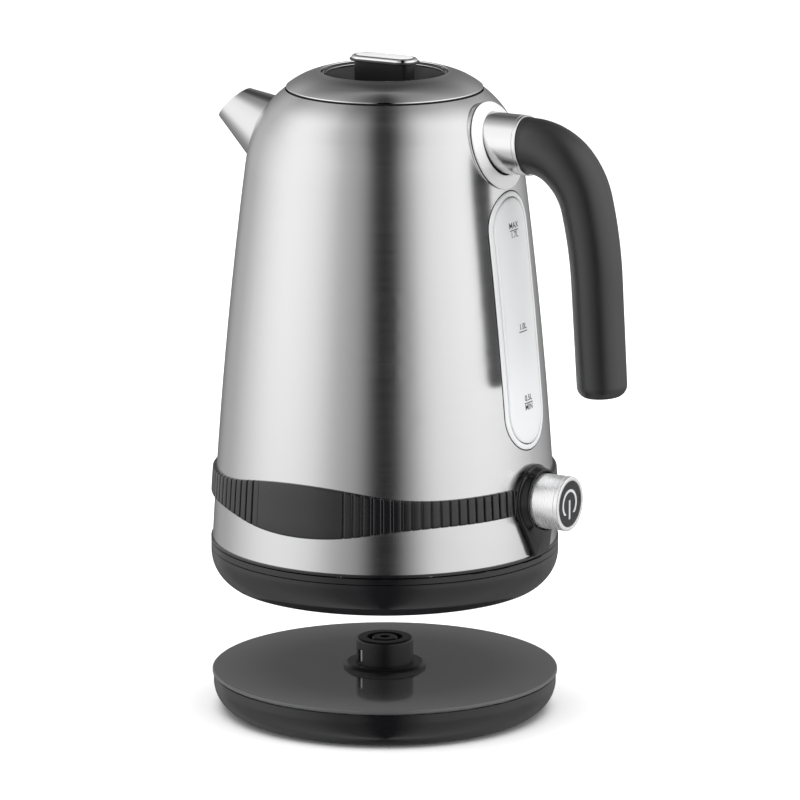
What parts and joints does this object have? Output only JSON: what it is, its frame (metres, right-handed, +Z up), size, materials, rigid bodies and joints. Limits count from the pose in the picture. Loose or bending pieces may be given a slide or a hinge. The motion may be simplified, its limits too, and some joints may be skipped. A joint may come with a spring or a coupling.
{
  "type": "electric kettle",
  "caption": "Cordless jug kettle in brushed steel with a ribbed black band, side level window, swept handle and round power button, held above its round power base.",
  "frame": {"origin": "where the shared turning axis of kettle and power base meets the table", "axes": "+Z up along the turning axis, -X towards the spout, +X towards the handle, level window and power button"},
  "size_m": [0.2103, 0.1609, 0.3044],
  "materials": {
    "steel_body": "fine circumferential brushing",
    "steel_bright": "polished",
    "steel_plain": "plain mill finish",
    "black_gloss": "polished mould, gloss",
    "black_soft": "soft-touch matt",
    "black_satin": "fine satin moulding",
    "base_gloss": "flat gloss top",
    "inner_plastic": "heat-resistant moulding",
    "clear": "clear moulding",
    "mark": "printed light grey",
    "silicone": "moulded silicone",
    "rubber": "moulded rubber",
    "copper_alloy": "plated contact metal"
  },
  "bodies": {
    "kettle": {"body_shell": "steel_body", "boil_dry_cutout": "inner_plastic", "bottom_cup": "black_gloss", "bottom_screws": "steel_plain", "button_boot": "silicone", "button_guide": "inner_plastic", "chassis": "inner_plastic", "control_socket": "inner_plastic", "control_terminals": "copper_alloy", "earth_pin": "copper_alloy", "filter_frame": "inner_plastic", "filter_mesh": "steel_plain", "handle_bolt": "steel_plain", "handle_bracket": "steel_plain", "handle_collar": "steel_bright", "handle_core": "steel_plain", "handle_flange": "steel_body", "handle_grip": "black_soft", "handle_sleeve": "steel_body", "heating_element": "steel_plain", "heating_plate": "steel_plain", "lever_bracket": "inner_plastic", "lever_pin": "steel_plain", "mouth_ring": "inner_plastic", "plate_seal": "silicone", "seam_ring": "black_gloss", "side_band": "black_gloss", "socket_ring": "copper_alloy", "spout": "steel_body", "steam_tube": "steel_plain", "switch_bezel": "black_gloss", "water_window": "clear", "window_clamp": "inner_plastic", "window_gasket": "silicone"},
    "coupling": {"connector_core": "black_satin"},
    "base": {"base_bottom": "black_satin", "base_cover": "base_gloss", "base_pads": "rubber", "base_screws": "steel_plain", "base_tray": "black_gloss", "cord_gland": "rubber", "cord_clamp": "inner_plastic", "connector_flange": "black_satin", "connector_post": "black_satin", "contact_blades": "copper_alloy", "contact_carrier": "inner_plastic"},
    "lid": {"grip_cap": "steel_bright", "grip_inlay": "steel_body", "lid_dish": "black_satin", "lid_gasket": "silicone", "lid_grip": "black_satin", "lid_liner": "inner_plastic", "lid_screws": "steel_plain", "lid_shell": "steel_body", "lid_trim_ring": "steel_bright"},
    "button": {"power_knob": "steel_body", "knob_disc": "black_satin", "knob_mark": "mark", "knob_plunger": "inner_plastic"},
    "lever": {"trip_lever": "inner_plastic"}
  },
  "joints": [
    {"name": "base_lift", "type": "slide", "parent": "kettle", "child": "coupling", "axis": [0, 0, 1], "range_m": [0, 0.0423]},
    {"name": "base_swivel", "type": "hinge", "parent": "coupling", "child": "base", "pos_m": [0, 0, 0], "axis": [0, 0, 1], "continuous": true},
    {"name": "lid_lift", "type": "slide", "parent": "kettle", "child": "lid", "axis": [0, 0, 1], "range_m": [0, 0.07]},
    {"name": "power_press", "type": "slide", "parent": "kettle", "child": "button", "axis": [-1, 0, 0], "range_m": [0, 0.003], "stiffness_N_per_m": 600},
    {"name": "trip_turn", "type": "hinge", "parent": "kettle", "child": "lever", "pos_m": [0.057, 0, 0.0951], "axis": [0, -1, 0], "range_deg": [0, 15.5]}
  ],
  "couplings": [
    {"joint": "trip_turn", "follows": "power_press", "rad_per_m": 83.333}
  ]
}
